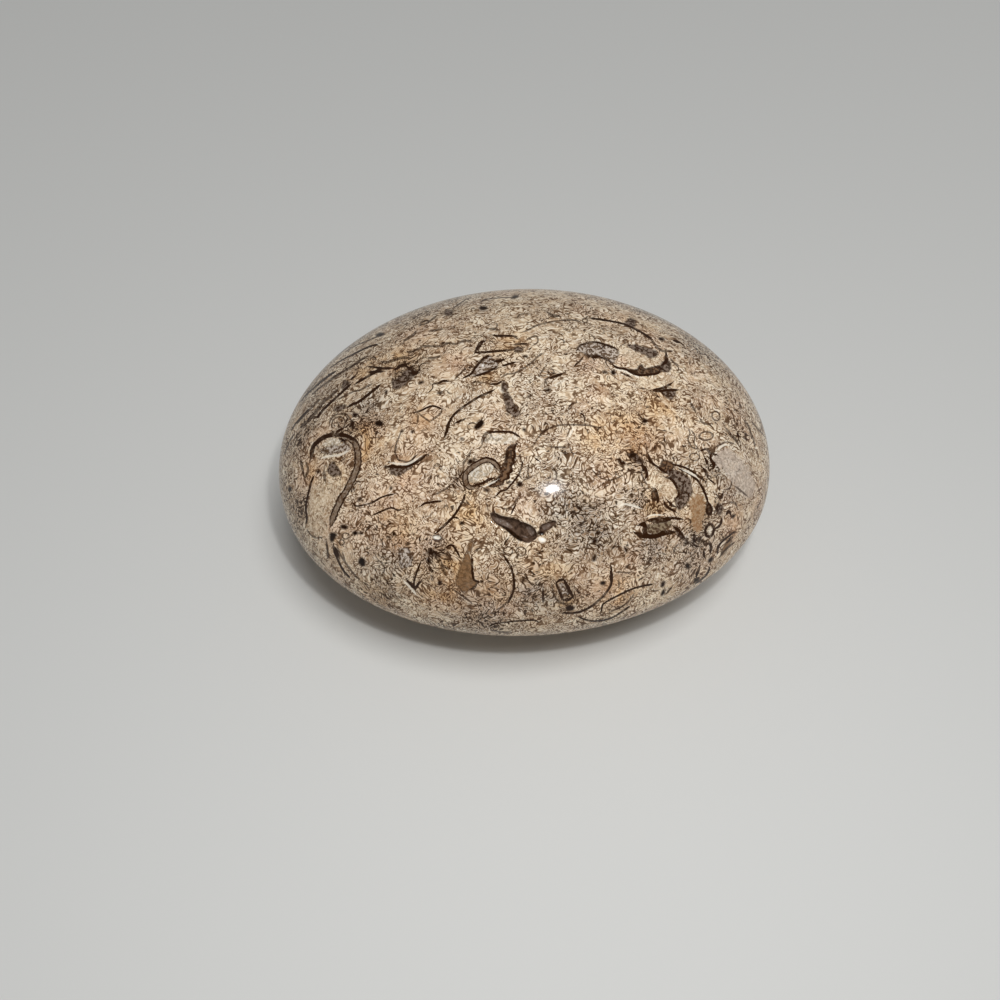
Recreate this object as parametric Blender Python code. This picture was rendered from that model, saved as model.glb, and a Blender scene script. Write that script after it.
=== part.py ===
"""A polished oval palm stone, cut from fossil shell limestone.

The stone is one solid piece. Its girdle is an oval that is a little wider at the -X end. The crown above
the girdle is taller than the belly below it, and rises towards +X. The belly is worn flat in one small
oval, which the stone rests on, and a few open pits are left where shell hollows meet the polished front.
+X runs along the length, -Y is the front, and the origin is at the centre of the resting flat.
"""

import math

import bmesh
import bpy
from mathutils import Matrix, Vector

# Driving dimensions of the stone, in metres.
LENGTH = 0.076
WIDTH = 0.063
CROWN_RISE = 0.0234
BELLY_DROP = 0.0150
FLAT_DEPTH = 0.0002

# How much wider and how much taller the stone gets towards its +X end, as a share at the tip.
WIDTH_TAPER = -0.039
CROWN_TAPER = 0.101

# Fineness of the facets.
GIRDLE_SEGMENTS = 64
GIRDLE_RINGS = 32
PIT_SEGMENTS = 16
PIT_RINGS = 8

GIRDLE_HEIGHT = BELLY_DROP - FLAT_DEPTH

# Open pits in the crown: name, place in plan (x, y), length, width, depth, and the turn in degrees from
# level to the pit's length, counted anticlockwise by someone who faces the surface.
PITS = (
    ("long_hollow", (0.0012, -0.0256), 0.0074, 0.0024, 0.0010, -20.0),
    ("side_hollow", (0.0056, -0.0250), 0.0028, 0.0014, 0.0007, 22.0),
    ("round_pit", (-0.0095, -0.0262), 0.0014, 0.0012, 0.0006, 0.0),
    ("shell_box", (0.0075, -0.0295), 0.0024, 0.0013, 0.0006, -68.0),
)

# Warm grey-beige limestone under a high polish.
STONE_COLOUR = (0.42, 0.30, 0.21, 1.0)
STONE_ROUGHNESS = 0.18


def clear_scene():
    """Removes every object that the scene starts with."""
    for old in list(bpy.data.objects):
        bpy.data.objects.remove(old, do_unlink=True)


def new_collection(name):
    """Adds a collection to the scene."""
    collection = bpy.data.collections.new(name)
    bpy.context.scene.collection.children.link(collection)
    return collection


def limestone_material():
    """The plain colour and polish of the stone."""
    material = bpy.data.materials.new("polished_limestone")
    material.use_nodes = True
    shader = material.node_tree.nodes["Principled BSDF"]
    shader.inputs["Base Color"].default_value = STONE_COLOUR
    shader.inputs["Roughness"].default_value = STONE_ROUGHNESS
    shader.inputs["Metallic"].default_value = 0.0
    return material


def width_scale(x):
    """How much wider than its middle the stone is at x."""
    return 1 + WIDTH_TAPER * x / (LENGTH / 2)


def crown_scale(x):
    """How much taller than its middle the crown is at x."""
    return 1 + CROWN_TAPER * x / (LENGTH / 2)


def shaped(unit):
    """Carries a point of the unit sphere onto the stone."""
    x = unit.x * LENGTH / 2
    y = unit.y * WIDTH / 2 * width_scale(x)
    if unit.z > 0:
        z = unit.z * CROWN_RISE * crown_scale(x)
    else:
        z = unit.z * BELLY_DROP
    return Vector((x, y, z + GIRDLE_HEIGHT))


def crown_point(x, y):
    """The point of the crown above (x, y), and the outward normal there."""
    across = x / (LENGTH / 2)
    along = y / (WIDTH / 2 * width_scale(x))
    unit = Vector((across, along, math.sqrt(1 - across**2 - along**2)))
    # The tapers are slight, so the plain oval's normal serves here.
    normal = Vector((unit.x / LENGTH * 2, unit.y / WIDTH * 2, unit.z / CROWN_RISE))
    return shaped(unit), normal.normalized()


def pit_cutter(name, place, length, width, depth, turn, collection):
    """An oval cutter centred on the surface, as deep as the pit."""
    centre, normal = crown_point(*place)
    level = Vector((0, 0, 1)).cross(normal).normalized()
    upslope = normal.cross(level)
    frame = Matrix((level, upslope, normal)).transposed().to_4x4()
    size = Matrix.Diagonal((length / 2, width / 2, depth, 1))
    matrix = Matrix.Translation(centre) @ frame @ Matrix.Rotation(math.radians(turn), 4, "Z") @ size
    mesh = bpy.data.meshes.new(name)
    shape = bmesh.new()
    bmesh.ops.create_uvsphere(shape, u_segments=PIT_SEGMENTS, v_segments=PIT_RINGS, radius=1, matrix=matrix)
    shape.to_mesh(mesh)
    shape.free()
    cutter = bpy.data.objects.new(name, mesh)
    cutter.display_type = "WIRE"
    cutter.hide_render = True
    collection.objects.link(cutter)
    return cutter


def cut_resting_flat(shape):
    """Slices the belly off level at z = 0 and closes the slice with one flat face."""
    everything = shape.verts[:] + shape.edges[:] + shape.faces[:]
    sliced = bmesh.ops.bisect_plane(
        shape, geom=everything, plane_co=(0, 0, 0), plane_no=(0, 0, -1), clear_outer=True
    )
    rim = [piece for piece in sliced["geom_cut"] if isinstance(piece, bmesh.types.BMEdge)]
    bmesh.ops.contextual_create(shape, geom=rim)
    bmesh.ops.recalc_face_normals(shape, faces=shape.faces)


def stone(collection, cutters):
    """The whole stone, with its pits cut in and its resting flat."""
    mesh = bpy.data.meshes.new("stone")
    shape = bmesh.new()
    bmesh.ops.create_uvsphere(shape, u_segments=GIRDLE_SEGMENTS, v_segments=GIRDLE_RINGS, radius=1)
    for vertex in shape.verts:
        vertex.co = shaped(vertex.co)
    cut_resting_flat(shape)
    shape.to_mesh(mesh)
    shape.free()
    mesh.shade_smooth()
    body = bpy.data.objects.new("stone", mesh)
    body.data.materials.append(limestone_material())
    collection.objects.link(body)
    for pit in PITS:
        cutter = pit_cutter(*pit, cutters)
        cut = body.modifiers.new(cutter.name, "BOOLEAN")
        cut.operation = "DIFFERENCE"
        cut.solver = "EXACT"
        cut.object = cutter
    return body


def main():
    """Builds the palm stone."""
    clear_scene()
    stone(new_collection("fossil_palm_stone"), new_collection("cutters"))


main()
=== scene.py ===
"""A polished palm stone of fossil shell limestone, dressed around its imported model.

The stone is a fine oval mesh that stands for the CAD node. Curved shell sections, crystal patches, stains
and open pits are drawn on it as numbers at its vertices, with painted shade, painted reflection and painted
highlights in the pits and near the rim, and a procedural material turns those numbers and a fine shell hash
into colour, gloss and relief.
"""

import math
import random

import bpy
import numpy as np
from mathutils import Matrix, Vector


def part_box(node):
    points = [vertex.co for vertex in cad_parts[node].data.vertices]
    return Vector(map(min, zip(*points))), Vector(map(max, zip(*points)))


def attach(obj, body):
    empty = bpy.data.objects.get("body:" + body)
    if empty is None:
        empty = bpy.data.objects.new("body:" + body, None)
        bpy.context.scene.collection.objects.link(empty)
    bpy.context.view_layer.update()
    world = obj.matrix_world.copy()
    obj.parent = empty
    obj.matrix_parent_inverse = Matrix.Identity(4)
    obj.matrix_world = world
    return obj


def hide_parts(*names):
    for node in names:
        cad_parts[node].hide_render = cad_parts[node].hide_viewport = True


bl_info = {
    "name": "Fossil Palm Stone",
    "version": (1, 0, 0),
    "blender": (4, 5, 0),
    "location": "View3D > Sidebar > Stone",
    "description": "Makes a polished oval stone of fossil shell limestone",
    "category": "Add Mesh",
}

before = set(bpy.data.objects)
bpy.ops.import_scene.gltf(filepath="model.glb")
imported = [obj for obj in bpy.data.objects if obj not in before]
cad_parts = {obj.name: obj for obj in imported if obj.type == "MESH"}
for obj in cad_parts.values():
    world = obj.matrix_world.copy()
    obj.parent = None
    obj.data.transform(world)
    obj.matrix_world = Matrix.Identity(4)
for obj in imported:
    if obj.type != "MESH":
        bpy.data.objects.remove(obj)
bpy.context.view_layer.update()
STONE_LOW, STONE_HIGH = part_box("stone")
STONE_NAME = "polished_stone"
STONE_SLOT = "polished_shell_limestone"

# How the oval leaves a plain ellipsoid: the tapers' shares at the +X tip, the girdle's height and the depth
# of the worn flat.
WIDTH_TAPER = -0.039
CROWN_TAPER = 0.101
GIRDLE_HEIGHT = 0.0148
FLAT_DEPTH = 0.0002

# The camera: its picture's side and lens in pixels, its sensor, how far a vertex that it sees has to face it,
# where it looks, from how far, and its turn, tilt and roll in degrees.
PICTURE_SIDE = 1000
LENS_PIXELS = 1100
SENSOR_WIDTH = 0.036
LEAST_FACING = 0.03
CAMERA_AIM = Vector((-0.0044, 0.0053, -0.0002))
CAMERA_DISTANCE = 0.1874
CAMERA_TURN = 7.0
CAMERA_TILT = 47.7
CAMERA_ROLL = -3.16

# The stage: the small lamp's place beside the camera, the dimmer glow round it, as shares of the lamp's size
# and power, the place of the wide soft light, how far below the stone the floor is, and how near the camera
# sees.
LAMP_OFFSET = Vector((0.0165, 0.0355, 0.0))
GLOW_SIZE = 3.2
GLOW_POWER = 0.22
SOFT_PLACE = Vector((0.43, -0.46, 1.76))
FLOOR_DROP = 0.00002
NEAR_CLIP = 0.005

# The unit ball's side that ends up facing the camera, and how far round the fine mesh reaches.
FINE_SIDE = (0.055, -0.558, 0.828)
FINE_REACH = 0.18

MILLIMETRES = 1000

# Charts: a distance in pixels that counts as far, how far round a path a chart is looked at, the scale in
# pixels a millimetre, how far a local chart reaches in millimetres, the least that a vertex of it faces along
# its middle's normal, and a slanting direction that sets which way is level in it.
FAR = 60.0
PATH_MARGIN = 24.0
PICTURE_SCALE = 7.5
CHART_REACH = 13.0
CHART_TURN = 0.3
SIDEWAYS = (0.31, 0.17, 0.93)

# Lines: how many layers hold lines that cross, how near in pixels a line keeps its layer to itself, how it
# slims where the surface turns away, the share of its width at its tips, how soon it widens from there, and
# the gaps in pixels over which a wide band ends.
LINE_LAYERS = 4
LINE_CLEARANCE = 8.0
SLIM_RATE = 2.5
SLIMMEST = 0.3
TIP_SHARE = 0.45
TIP_REACH = 1.8
BAND_REACH = (6.0, 3.5)

# Line tones: how dark a line is. A band, with a tone below 0, has a brown core between two dark edges. A pale
# line, with a tone above 1, is light.
DARK = 1.0
BROWN = 0.75
FAINT = 0.5
BAND = -1.0
PALE = 2.0

# Lines on the side that faces the camera, by the shell that they draw: width, tone and points (x, y) in the
# camera's 1000 x 1000 picture.
LINES = {
    "hook": (
        (6.8, BAND, (346, 438), (353, 441), (357, 448), (358, 460), (356, 471), (347, 490), (341, 499),
         (334, 515), (331, 525)),
        (4.4, DARK, (311, 458), (312, 452), (315, 444), (327, 436), (341, 435), (349, 437), (355, 441)),
        (2.2, PALE, (322, 458), (330, 456), (340, 455), (348, 451)),
        (2.2, DARK, (314, 476), (311, 483), (306, 505), (307, 518), (306, 524)),
        (1.6, BROWN, (307, 530), (311, 535), (316, 538), (323, 537)),
        (3.4, BROWN, (324, 470), (325, 481)),
        (2.4, BROWN, (301, 460), (304, 477)),
        (2.4, BROWN, (306, 462), (308, 470), (305, 478)),
    ),
    "spiral": (
        (1.9, BROWN, (329, 424), (331, 419), (335, 415), (341, 414), (347, 415), (353, 424), (352, 430)),
        (1.7, BROWN, (332, 429), (332, 423), (335, 418), (340, 417), (344, 419), (345, 424), (343, 428)),
        (2.6, DARK, (336, 432), (344, 428)),
    ),
    "upper left streaks": (
        (3, DARK, (300, 402), (308, 393), (327, 377), (336, 371)),
        (2.4, BROWN, (312, 395), (322, 386), (356, 363), (368, 356)),
        (2.2, DARK, (330, 368), (342, 360), (366, 348), (378, 344)),
        (2.2, BROWN, (345, 352), (357, 345), (384, 334)),
        (2.6, DARK, (355, 384), (374, 373), (384, 371)),
        (1.8, BROWN, (296, 424), (320, 399)),
        (2.2, DARK, (291, 431), (296, 423), (309, 409)),
        (2, BROWN, (284, 455), (288, 444), (294, 434)),
        (2.8, DARK, (380, 385), (360, 401), (353, 404), (348, 407)),
        (3.4, BROWN, (338, 389), (330, 397), (323, 402), (312, 417), (301, 427)),
        (2.6, DARK, (351, 384), (325, 408), (317, 418)),
        (2, FAINT, (300, 407), (315, 383), (322, 374)),
        (2, BROWN, (372, 384), (360, 390), (352, 392), (339, 399)),
        (2.2, DARK, (350, 380), (355, 376)),
        (1.9, BROWN, (350, 368), (364, 358)),
        (1.8, BROWN, (330, 379), (343, 371)),
    ),
    "upper left crystals": (
        (3, DARK, (408, 367), (412, 370), (415, 374), (419, 370)),
        (3, DARK, (395, 370), (400, 366), (404, 365), (408, 367)),
        (3, DARK, (368, 372), (375, 372), (380, 369), (392, 368)),
        (2.4, DARK, (369, 367), (383, 368)),
        (3.2, BROWN, (382, 362), (388, 362), (401, 358), (409, 358)),
        (3, BROWN, (404, 341), (416, 333)),
        (2.4, BROWN, (428, 323), (436, 316)),
        (1.8, BROWN, (419, 324), (424, 321), (429, 321), (425, 324), (419, 325)),
        (2.4, BROWN, (429, 331), (443, 329)),
        (2, BROWN, (422, 346), (440, 346), (449, 343)),
        (2.4, BROWN, (406, 352), (414, 351), (422, 347)),
        (2, BROWN, (427, 358), (433, 358), (441, 356)),
        (2.6, DARK, (433, 384), (439, 383), (443, 381), (449, 381)),
    ),
    "loop hook": (
        (4, DARK, (485, 341), (481, 343), (475, 352)),
        (2.4, DARK, (475, 352), (480, 352.5), (511, 350), (515, 349)),
        (2.2, DARK, (492, 335), (498, 336), (513, 336), (518, 339)),
        (2.4, BROWN, (488, 329), (495, 329), (500, 331)),
        (2, DARK, (514, 345), (520, 344), (527, 344)),
        (1.8, BROWN, (526, 340), (535, 336), (538, 339), (537, 343), (533, 345)),
        (2.2, BROWN, (440, 344), (448, 343), (456, 344), (463, 341), (472, 341)),
    ),
    "grey lens": (
        (2.4, DARK, (463, 378), (471, 374), (475, 368), (484, 358), (490, 356)),
        (2.4, DARK, (475, 376), (485, 373), (497, 367)),
        (3, DARK, (493, 361), (499, 361), (505, 359)),
        (2.4, DARK, (502, 366), (516, 362)),
        (1.9, BROWN, (543, 353), (536, 358), (530, 364), (515, 373), (507, 374), (502, 377)),
        (2, BROWN, (455, 379), (466, 368)),
        (2, DARK, (490, 384), (497, 384), (502, 381)),
        (2.2, BROWN, (546, 366), (540, 374)),
    ),
    "top": (
        (2.2, BROWN, (452, 309), (465, 300), (472, 297)),
        (1.8, BROWN, (523, 332), (530, 329), (538, 325), (556, 321), (573, 320), (581, 322)),
        (3, BROWN, (547, 312), (552, 315), (560, 316)),
        (2.2, DARK, (590, 318), (620, 323), (639, 331), (652, 339)),
        (3.4, DARK, (635, 329), (640, 332)),
        (3.4, DARK, (646, 336), (650, 338)),
        (2, BROWN, (481, 302), (487, 299), (512, 297)),
    ),
    "upper shell": (
        (2.6, BROWN, (651, 340), (659, 349), (664, 351), (672, 351)),
        (3.6, DARK, (666, 353), (666, 361), (662, 365)),
        (2.6, DARK, (613, 365), (618, 368), (625, 369), (638, 375), (654, 374), (661, 372)),
        (2, BROWN, (670, 358), (673, 362), (679, 366)),
        (2, DARK, (577, 350), (581, 345), (595, 342), (612, 347), (618, 350)),
        (3, DARK, (588, 355), (594, 357), (600, 356)),
        (2.4, DARK, (600, 357), (608, 360), (613, 364)),
        (2, DARK, (574, 366), (580, 361), (583, 357)),
        (2, PALE, (615, 369), (624, 371), (632, 375)),
        (1.8, DARK, (622, 373), (631, 377)),
        (2.6, DARK, (653, 390), (665, 387), (672, 383)),
        (2.8, DARK, (653, 391), (660, 391), (668, 390), (678, 390)),
        (1.6, DARK, (653, 393), (660, 398)),
        (2, DARK, (640, 388), (646, 389)),
        (3, DARK, (673, 340), (680, 343)),
    ),
    "rust ring": (
        (2.2, DARK, (413, 413), (420, 411), (432, 406), (442, 409)),
        (2.2, BROWN, (442, 409), (440, 414), (431, 421)),
        (2, BROWN, (418, 413), (430, 422)),
        (2.4, BROWN, (417, 413), (418, 418), (417, 423)),
    ),
    "long arc": (
        (2.5, DARK, (494, 390), (477, 398), (458, 411), (450, 421), (445, 437)),
        (3.6, DARK, (449, 421), (447, 430), (445, 434)),
        (2.8, DARK, (455, 423), (465, 419)),
    ),
    "crescent": (
        (3.4, DARK, (387, 467), (392, 466), (399, 467), (413, 464), (426, 455)),
        (2.2, DARK, (398, 460), (408, 462), (416, 456)),
        (2.2, PALE, (391, 463), (407, 464), (418, 458)),
        (1.7, BROWN, (401, 432), (395, 448), (396, 455), (399, 460)),
    ),
    "coil": (
        (5.6, BAND, (499, 470), (497, 466), (492, 461), (486, 460), (479, 463), (467, 472), (465, 478),
         (466, 483), (469, 487), (474, 488)),
        (1.8, DARK, (501, 469), (499, 465), (495, 461), (485, 458), (472, 464)),
        (3, DARK, (473, 486), (483, 483), (488, 480), (494, 478)),
        (1.8, PALE, (483, 487), (496, 481)),
        (2.6, DARK, (516, 445), (514, 450), (515, 455), (513, 460), (514, 463)),
        (2.2, DARK, (514, 463), (511, 466), (512, 471), (508, 474), (509, 478), (504, 480), (503, 484)),
        (2.1, DARK, (523, 462), (519, 474), (507, 489), (501, 491), (496, 496)),
        (2.4, DARK, (520, 437), (510, 432), (488, 432)),
        (3.8, BROWN, (482, 443), (484, 437), (487, 433), (491, 432)),
        (2.6, BROWN, (471, 451), (468, 457), (464, 462), (463, 466)),
        (1.8, BROWN, (433, 495), (446, 489), (455, 480), (459, 478), (463, 472)),
        (1.9, BROWN, (524, 480), (533, 476)),
        (2.2, BROWN, (529, 466), (528, 471)),
        (2.2, DARK, (535, 458), (539, 461)),
    ),
    "cracks": (
        (2.6, DARK, (465, 495), (462, 503), (452, 518), (436, 533)),
        (2.4, DARK, (466, 501), (470, 505)),
        (2.4, DARK, (421, 506), (426, 503), (442, 501)),
        (1.9, DARK, (353, 503), (357, 506), (371, 503), (382, 497), (394, 494)),
        (1.9, DARK, (373, 515), (390, 508), (397, 510), (402, 510)),
        (1.5, BROWN, (378, 517), (379, 522), (388, 527)),
        (2.2, DARK, (369, 526), (366, 531)),
        (1.7, BROWN, (520, 495), (512, 506), (507, 509), (501, 508)),
        (1.9, DARK, (516, 504), (511, 514)),
        (2, BROWN, (443, 508), (446, 505), (449, 508)),
    ),
    "upper right arc": (
        (2, BROWN, (536, 440), (545, 431), (558, 425.5), (585, 425), (600, 428)),
        (2.4, PALE, (573, 429), (569, 437)),
        (2, BROWN, (570, 429), (567, 436)),
        (1.8, BROWN, (550, 447), (565, 447)),
        (1.6, BROWN, (568, 443), (574, 457)),
        (3.4, DARK, (550, 378), (562, 374)),
        (1.5, BROWN, (592, 470), (601, 478), (612, 480), (623, 475)),
    ),
    "right shell": (
        (2.2, DARK, (672, 464), (688, 469), (705, 481)),
        (2.6, DARK, (679, 469), (687, 472), (698, 481), (704, 491), (708, 502)),
        (2.2, PALE, (697, 477), (690, 473), (683, 470)),
        (2.4, DARK, (708, 502), (712, 509), (710, 514), (707, 513), (707, 507)),
        (2.8, DARK, (649, 455), (651, 462), (665, 472)),
        (2.6, DARK, (665, 477), (671, 479), (675, 484), (679, 494), (676, 498)),
        (2.8, DARK, (643, 465), (646, 470), (647, 475), (645, 479)),
        (2, BROWN, (641, 471), (643, 478), (647, 485)),
        (2.8, DARK, (653, 488), (656, 491), (658, 499), (657, 503)),
        (1.4, BROWN, (651, 488), (645, 489), (642, 494), (644, 500), (650, 501)),
        (2.4, DARK, (664, 501), (666, 506), (676, 512)),
        (2.2, DARK, (668, 501), (672, 505), (676, 507)),
        (2.6, DARK, (620, 459), (621, 463), (625, 464)),
        (2.2, PALE, (620, 506), (626, 504), (640, 508)),
        (1.6, PALE, (647, 517), (653, 515), (663, 515)),
    ),
    "boxes": (
        (6.6, DARK, (649, 520.5), (669, 519.5)),
        (3, DARK, (662, 519), (671, 518), (682, 519)),
        (5, DARK, (639, 525), (644, 524), (645, 528), (645, 536)),
        (5.2, DARK, (635, 533), (645, 536), (657, 536), (662, 533.5), (674, 532)),
        (3.4, DARK, (674, 527), (679, 531), (684, 537)),
        (2.8, DARK, (556, 583), (563, 600)),
        (3.6, DARK, (564, 580), (573, 597)),
        (2.6, DARK, (556, 583), (560, 580), (565, 580)),
        (3, DARK, (563, 600), (568, 600), (573, 597)),
        (2, BROWN, (552, 584), (553, 592), (557, 600), (564, 604), (572, 603)),
    ),
    "right side": (
        (3.2, DARK, (705, 458), (708, 465)),
        (3.4, DARK, (710, 455), (711, 460), (714, 464), (713, 469)),
        (3.6, DARK, (703, 468), (706, 472), (708, 477)),
        (2, DARK, (709, 479), (714, 483)),
        (2.4, DARK, (700, 451), (707, 449), (710, 453), (717, 455)),
        (2.2, PALE, (717, 450), (724, 445), (728, 445)),
        (1.8, BROWN, (716, 447), (726, 442), (734, 444)),
        (1.7, BROWN, (688, 428), (690, 433), (688, 440), (692, 447), (698, 449)),
        (1.6, BROWN, (691, 430), (695, 436), (694, 443), (698, 448)),
        (2.4, BROWN, (700, 418), (702, 422), (706, 424), (709, 424), (712, 427)),
        (2.6, BROWN, (690, 402), (696, 412)),
        (2, BROWN, (684, 409), (689, 410)),
        (3, BROWN, (726, 428), (730, 434), (735, 439), (738, 444)),
        (2.4, DARK, (737, 432), (739, 438)),
        (2.4, BROWN, (744, 438), (748, 440)),
        (2.2, BROWN, (744, 420), (749, 427), (751, 434), (754, 441), (755, 447)),
        (2, BROWN, (752, 422), (766, 438)),
        (2.4, BROWN, (739, 402), (742, 409)),
        (2, BROWN, (735, 486), (747, 496)),
        (2, BROWN, (732, 481), (730, 488), (725, 490)),
        (3, DARK, (717, 495), (721, 498), (723, 493)),
        (2.4, DARK, (718, 503), (717, 509), (714, 514)),
        (2.6, DARK, (726, 515), (729, 511), (731, 515)),
        (2.4, DARK, (722, 518), (721, 523), (718, 527), (715, 529)),
        (2.4, BROWN, (729, 502), (735, 503), (737, 507)),
        (2.2, DARK, (737, 532), (733, 533), (720, 544), (717, 554)),
        (2.4, DARK, (733, 536), (730, 539), (727, 543)),
        (2, BROWN, (719, 558), (725, 550), (735, 542)),
        (3.2, DARK, (709, 541), (711, 547), (710, 553)),
        (2.4, DARK, (704, 550), (704, 555), (705, 558)),
        (3.2, DARK, (700, 566), (696, 577)),
        (2.2, DARK, (710, 567), (707, 574), (701, 580), (695, 584)),
        (2, DARK, (666, 594), (672, 587)),
    ),
    "low arcs": (
        (2.6, DARK, (504, 556), (512, 570), (514, 588), (508, 603)),
        (2, BROWN, (509, 600), (502, 607), (496, 610)),
        (2.6, DARK, (504, 544), (508, 539)),
        (2.2, DARK, (530, 571), (535, 575)),
        (2.2, DARK, (543, 589), (543, 602)),
        (2, BROWN, (522, 584), (524, 579), (527, 578)),
        (2.4, DARK, (562, 613), (579, 612), (596, 603), (611, 585), (611, 566)),
        (3.2, DARK, (611, 583), (611, 570)),
        (2.4, DARK, (333, 544), (335, 553), (343, 570), (350, 578)),
        (2, BROWN, (337, 547), (341, 556), (353, 573), (360, 580)),
        (1.8, BROWN, (326, 540), (329, 558)),
        (1.9, DARK, (578, 617), (592, 621), (611, 618), (630, 606)),
        (2, DARK, (601, 612), (602, 607), (606, 602), (632, 589), (653, 584)),
        (1.9, BROWN, (610, 612), (626, 604), (634, 594)),
        (1.8, DARK, (489, 626), (499, 623), (531, 620), (539, 622)),
        (2, BROWN, (490, 630), (501, 632), (512, 632)),
        (1.9, BROWN, (616, 572), (631, 573)),
        (2.2, BROWN, (619, 581), (619, 588)),
    ),
    "tan shell": (
        (2.6, DARK, (472, 558), (473, 577), (476, 581), (480, 582)),
        (2.6, DARK, (477, 584), (474, 588), (470, 589)),
        (2.2, DARK, (446, 548), (450, 545), (454, 547), (460, 557)),
        (2, DARK, (421, 562), (418, 569), (414, 582), (415, 588)),
        (3.2, DARK, (407, 580), (415, 589)),
        (2.8, DARK, (422, 581), (419, 583), (415, 589)),
        (2.2, PALE, (404, 581), (416, 594)),
        (3, BROWN, (441, 562), (443, 569), (446, 575)),
        (2.4, BROWN, (444, 567), (450, 569)),
        (2, BROWN, (452, 589), (457, 592), (472, 603)),
        (2, BROWN, (380, 592), (390, 600)),
        (2.8, DARK, (335, 547), (339, 558)),
        (2, BROWN, (327, 544), (328, 559)),
        (2, BROWN, (342, 552), (345, 560)),
    ),
}

# Closed rings: width, tone, centre, half-axes and turn in degrees.
RINGS = {
    "pale ring": (2.8, DARK, (709.6, 530.4), (4.2, 6.4), 12),
    "small ring": (1.3, BROWN, (508, 551), (4.6, 4.2), 0),
    "small ring beside it": (1.3, BROWN, (521, 551.5), (5, 4.5), 0),
    "lens": (1.7, BROWN, (706, 436), (7, 4.2), -6),
    "oval": (1.6, BROWN, (716, 416), (3.8, 4.8), -25),
    "oval beside the tan shell": (1.4, FAINT, (405, 557), (5.5, 9), 0),
    "eye": (1.3, BROWN, (694.5, 457), (5, 3.8), 10),
    "dark eye": (1.4, BROWN, (585, 320.4), (2.6, 2.2), 0),
    "left eye": (1.4, BROWN, (345.6, 536), (3.5, 3), 0),
    "left eye below": (1.3, BROWN, (341.7, 542.5), (2.6, 2.8), 0),
    "low right": (1.2, FAINT, (566, 498), (12, 7), -14),
}

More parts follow.
